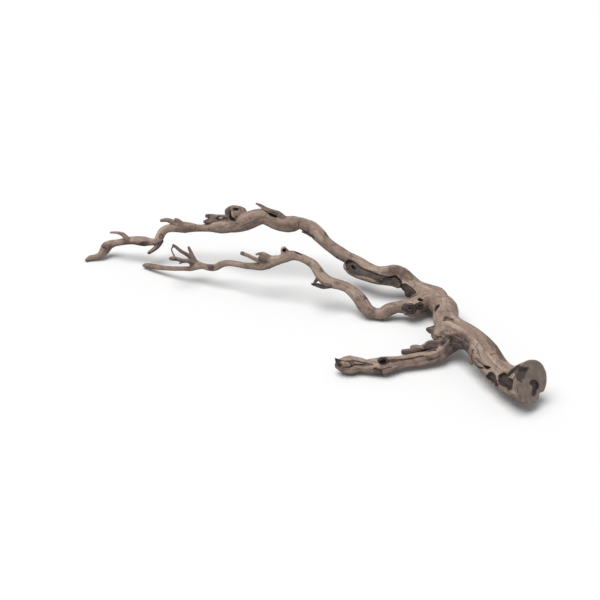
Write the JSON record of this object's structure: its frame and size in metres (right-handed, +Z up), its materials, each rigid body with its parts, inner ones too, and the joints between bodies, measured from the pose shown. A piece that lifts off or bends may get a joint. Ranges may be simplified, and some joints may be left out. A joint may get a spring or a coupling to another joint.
{
  "type": "grapevine wood branch",
  "caption": "Sandblasted grapevine branch with a sawn trunk, a hollow side limb and long wriggling limbs ending in dead twigs.",
  "frame": {"origin": "middle of the branch's plan outline, at the ground it lies on", "axes": "+X runs along the branch's length towards its sawn butt, +Z is up, and +Y points away from the side limb"},
  "size_m": [0.6707, 0.2206, 0.098],
  "materials": {
    "trunk_butt": "sandblasted bare wood, matt",
    "trunk_crown": "sandblasted bare wood, matt",
    "side_limb": "sandblasted bare wood, matt",
    "back_limb": "sandblasted bare wood, matt",
    "front_limb": "sandblasted bare wood, matt",
    "front_tail": "sandblasted bare wood, matt"
  },
  "bodies": {
    "root": {"trunk_butt": "trunk_butt", "trunk_crown": "trunk_crown", "side_limb": "side_limb", "back_limb": "back_limb", "front_limb": "front_limb", "front_tail": "front_tail"}
  },
  "joints": []
}
